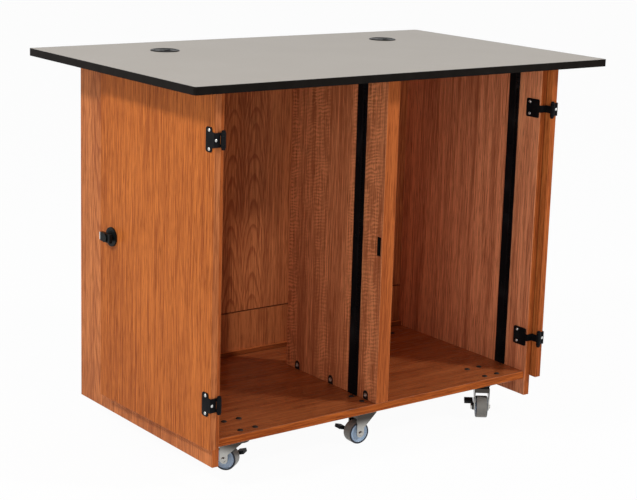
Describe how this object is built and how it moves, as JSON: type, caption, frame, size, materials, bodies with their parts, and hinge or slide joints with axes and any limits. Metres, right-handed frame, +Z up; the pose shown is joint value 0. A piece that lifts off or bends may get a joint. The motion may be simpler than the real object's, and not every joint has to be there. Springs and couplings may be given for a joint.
{
  "type": "instructor cart",
  "caption": "Mobile wooden instructor cart with rack bays behind fold-back doors, an overhanging laminate top with cord grommets, and braked swivel casters.",
  "frame": {"origin": "on the ground under the middle of the top", "axes": "+X along the front to the viewer's right, +Y from front to rear, +Z up"},
  "size_m": [1.304, 0.798, 1.0015],
  "materials": {
    "oak": "stained oak veneer, satin lacquer",
    "laminate": "warm grey high-pressure laminate",
    "black_edge": "black edge band",
    "black_steel": "black powder coat",
    "black_plastic": "moulded black",
    "zinc": "bright zinc plate",
    "chrome": "bright",
    "wheel": "grey moulded wheel and tread"
  },
  "bodies": {
    "cabinet": {"left_side_panel": "oak", "right_side_panel": "oak", "centre_partition": "oak", "floor_panel": "oak", "rear_upper_panel": "oak", "rear_lower_rail": "oak", "rear_cleat": "oak", "top_board": "laminate", "top_edge_band": "black_edge", "left_bay_outer_rail": "black_steel", "left_bay_inner_rail": "black_steel", "right_bay_inner_rail": "black_steel", "right_bay_outer_rail": "black_steel", "hinge_frame_left_upper": "black_steel", "hinge_frame_left_lower": "black_steel", "hinge_frame_right_upper": "black_steel", "hinge_frame_right_lower": "black_steel", "connector_front": "black_plastic", "connector_middle": "black_plastic", "connector_rear": "black_plastic", "grommet_sleeve_left": "black_plastic", "grommet_sleeve_right": "black_plastic", "caster_plate_front_left": "zinc", "caster_plate_front_centre": "zinc", "caster_plate_front_right": "zinc", "caster_plate_rear_left": "zinc", "caster_plate_rear_centre": "zinc", "caster_plate_rear_right": "zinc"},
    "left_door": {"left_door": "oak", "hinge_wing_left_upper": "black_steel", "hinge_wing_left_lower": "black_steel", "lock_case_left": "black_plastic"},
    "left_key_plug": {"key_plug_left": "chrome"},
    "left_lock_bolt": {"lock_bolt_left": "chrome"},
    "right_door": {"right_door": "oak", "hinge_wing_right_upper": "black_steel", "hinge_wing_right_lower": "black_steel", "lock_case_right": "black_plastic"},
    "right_key_plug": {"key_plug_right": "chrome"},
    "right_lock_bolt": {"lock_bolt_right": "chrome"},
    "grommet_cap_left": {"grommet_cap_left": "black_plastic"},
    "grommet_cap_right": {"grommet_cap_right": "black_plastic"},
    "fork_front_left": {"caster_fork_front_left": "zinc"},
    "wheel_front_left": {"caster_wheel_front_left": "wheel"},
    "lever_front_left": {"brake_lever_front_left": "black_plastic"},
    "fork_front_centre": {"caster_fork_front_centre": "zinc"},
    "wheel_front_centre": {"caster_wheel_front_centre": "wheel"},
    "lever_front_centre": {"brake_lever_front_centre": "black_plastic"},
    "fork_front_right": {"caster_fork_front_right": "zinc"},
    "wheel_front_right": {"caster_wheel_front_right": "wheel"},
    "lever_front_right": {"brake_lever_front_right": "black_plastic"},
    "fork_rear_left": {"caster_fork_rear_left": "zinc"},
    "wheel_rear_left": {"caster_wheel_rear_left": "wheel"},
    "lever_rear_left": {"brake_lever_rear_left": "black_plastic"},
    "fork_rear_centre": {"caster_fork_rear_centre": "zinc"},
    "wheel_rear_centre": {"caster_wheel_rear_centre": "wheel"},
    "lever_rear_centre": {"brake_lever_rear_centre": "black_plastic"},
    "fork_rear_right": {"caster_fork_rear_right": "zinc"},
    "wheel_rear_right": {"caster_wheel_rear_right": "wheel"},
    "lever_rear_right": {"brake_lever_rear_right": "black_plastic"}
  },
  "joints": [
    {"name": "left_door_swing", "type": "hinge", "parent": "cabinet", "child": "left_door", "pos_m": [-0.528, -0.329, 0.541], "axis": [0, 0, -1], "range_deg": [-268.5, 1]},
    {"name": "left_key_turn", "type": "hinge", "parent": "left_door", "child": "left_key_plug", "pos_m": [-0.54012, 0.12634, 0.5435], "axis": [-0.9997, -0.0262, 0], "range_deg": [0, 180]},
    {"name": "left_bolt_throw", "type": "slide", "parent": "left_door", "child": "left_lock_bolt", "axis": [-0.0262, 0.9997, 0], "range_m": [-0.002, 0.034]},
    {"name": "right_door_swing", "type": "hinge", "parent": "cabinet", "child": "right_door", "pos_m": [0.528, -0.329, 0.541], "axis": [0, 0, 1], "range_deg": [-268.5, 1]},
    {"name": "right_key_turn", "type": "hinge", "parent": "right_door", "child": "right_key_plug", "pos_m": [0.54012, 0.12634, 0.5435], "axis": [0.9997, -0.0262, 0], "range_deg": [0, 180]},
    {"name": "right_bolt_throw", "type": "slide", "parent": "right_door", "child": "right_lock_bolt", "axis": [0.0262, 0.9997, 0], "range_m": [-0.002, 0.034]},
    {"name": "grommet_cap_left_turn", "type": "hinge", "parent": "cabinet", "child": "grommet_cap_left", "pos_m": [-0.352, 0.219, 0.999], "axis": [0, 0, 1], "continuous": true},
    {"name": "grommet_cap_right_turn", "type": "hinge", "parent": "cabinet", "child": "grommet_cap_right", "pos_m": [0.376, 0.219, 0.999], "axis": [0, 0, 1], "continuous": true},
    {"name": "swivel_front_left", "type": "hinge", "parent": "cabinet", "child": "fork_front_left", "pos_m": [-0.406, -0.238, 0.1], "axis": [0, 0, 1], "continuous": true},
    {"name": "roll_front_left", "type": "hinge", "parent": "fork_front_left", "child": "wheel_front_left", "pos_m": [-0.42493, -0.21097, 0.03], "axis": [-0.8192, -0.5736, 0], "continuous": true},
    {"name": "brake_front_left", "type": "hinge", "parent": "fork_front_left", "child": "lever_front_left", "pos_m": [-0.42493, -0.21097, 0.03], "axis": [-0.8192, -0.5736, 0], "range_deg": [0, 150]},
    {"name": "swivel_front_centre", "type": "hinge", "parent": "cabinet", "child": "fork_front_centre", "pos_m": [0, -0.238, 0.1], "axis": [0, 0, 1], "continuous": true},
    {"name": "roll_front_centre", "type": "hinge", "parent": "fork_front_centre", "child": "wheel_front_centre", "pos_m": [-0.03294, -0.23599, 0.03], "axis": [-0.061, -0.9981, 0], "continuous": true},
    {"name": "brake_front_centre", "type": "hinge", "parent": "fork_front_centre", "child": "lever_front_centre", "pos_m": [-0.03294, -0.23599, 0.03], "axis": [-0.061, -0.9981, 0], "range_deg": [-150, 0]},
    {"name": "swivel_front_right", "type": "hinge", "parent": "cabinet", "child": "fork_front_right", "pos_m": [0.406, -0.238, 0.1], "axis": [0, 0, 1], "continuous": true},
    {"name": "roll_front_right", "type": "hinge", "parent": "fork_front_right", "child": "wheel_front_right", "pos_m": [0.38582, -0.26411, 0.03], "axis": [0.7912, -0.6115, 0], "continuous": true},
    {"name": "brake_front_right", "type": "hinge", "parent": "fork_front_right", "child": "lever_front_right", "pos_m": [0.38582, -0.26411, 0.03], "axis": [0.7912, -0.6115, 0], "range_deg": [0, 150]},
    {"name": "swivel_rear_left", "type": "hinge", "parent": "cabinet", "child": "fork_rear_left", "pos_m": [-0.406, 0.22, 0.1], "axis": [0, 0, 1], "continuous": true},
    {"name": "roll_rear_left", "type": "hinge", "parent": "fork_rear_left", "child": "wheel_rear_left", "pos_m": [-0.43591, 0.23395, 0.03], "axis": [-0.4226, -0.9063, 0], "continuous": true},
    {"name": "brake_rear_left", "type": "hinge", "parent": "fork_rear_left", "child": "lever_rear_left", "pos_m": [-0.43591, 0.23395, 0.03], "axis": [-0.4226, -0.9063, 0], "range_deg": [0, 150]},
    {"name": "swivel_rear_centre", "type": "hinge", "parent": "cabinet", "child": "fork_rear_centre", "pos_m": [0, 0.22, 0.1], "axis": [0, 0, 1], "continuous": true},
    {"name": "roll_rear_centre", "type": "hinge", "parent": "fork_rear_centre", "child": "wheel_rear_centre", "pos_m": [-0.033, 0.22, 0.03], "axis": [0, -1, 0], "continuous": true},
    {"name": "brake_rear_centre", "type": "hinge", "parent": "fork_rear_centre", "child": "lever_rear_centre", "pos_m": [-0.033, 0.22, 0.03], "axis": [0, -1, 0], "range_deg": [0, 150]},
    {"name": "swivel_rear_right", "type": "hinge", "parent": "cabinet", "child": "fork_rear_right", "pos_m": [0.406, 0.22, 0.1], "axis": [0, 0, 1], "continuous": true},
    {"name": "roll_rear_right", "type": "hinge", "parent": "fork_rear_right", "child": "wheel_rear_right", "pos_m": [0.37609, 0.20605, 0.03], "axis": [0.4226, -0.9063, 0], "continuous": true},
    {"name": "brake_rear_right", "type": "hinge", "parent": "fork_rear_right", "child": "lever_rear_right", "pos_m": [0.37609, 0.20605, 0.03], "axis": [0.4226, -0.9063, 0], "range_deg": [0, 150]}
  ],
  "couplings": [
    {"joint": "left_bolt_throw", "follows": "left_key_turn", "m_per_rad": 0.0098676},
    {"joint": "right_bolt_throw", "follows": "right_key_turn", "m_per_rad": 0.0098676}
  ]
}
